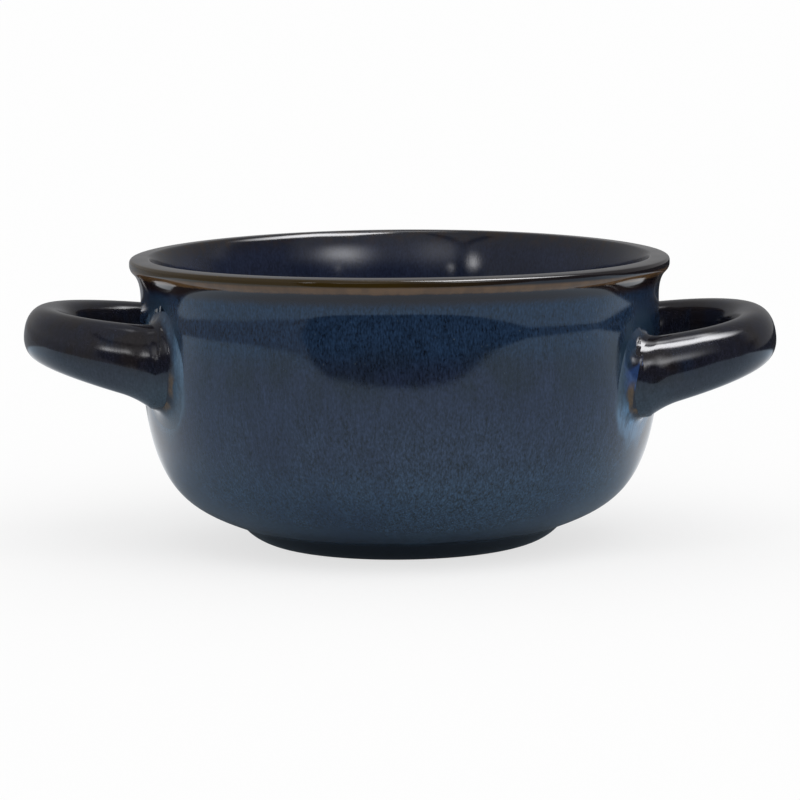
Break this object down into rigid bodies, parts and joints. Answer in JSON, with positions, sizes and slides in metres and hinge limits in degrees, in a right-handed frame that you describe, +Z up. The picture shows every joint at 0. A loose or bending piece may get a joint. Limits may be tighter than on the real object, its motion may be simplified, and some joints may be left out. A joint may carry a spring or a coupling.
{
  "type": "soup bowl",
  "caption": "Round glazed stoneware soup bowl with a rounded lip, a bevelled foot and a loop handle luted to each side.",
  "frame": {"origin": "middle of the foot's resting face, on the bowl's axis", "axes": "+Z up along the bowl's axis, +X across the handles to the right, +Y from front to back"},
  "size_m": [0.1952, 0.14, 0.0754],
  "materials": {
    "body_glaze": "glossy blue reactive glaze",
    "handle_glaze": "glossy dark navy glaze",
    "slip": "glossy brown where the glaze breaks over the slip"
  },
  "bodies": {
    "root": {"bowl_body": "body_glaze", "left_handle": "handle_glaze", "right_handle": "handle_glaze", "left_front_slip_joint": "slip", "left_rear_slip_joint": "slip", "right_front_slip_joint": "slip", "right_rear_slip_joint": "slip"}
  },
  "joints": []
}
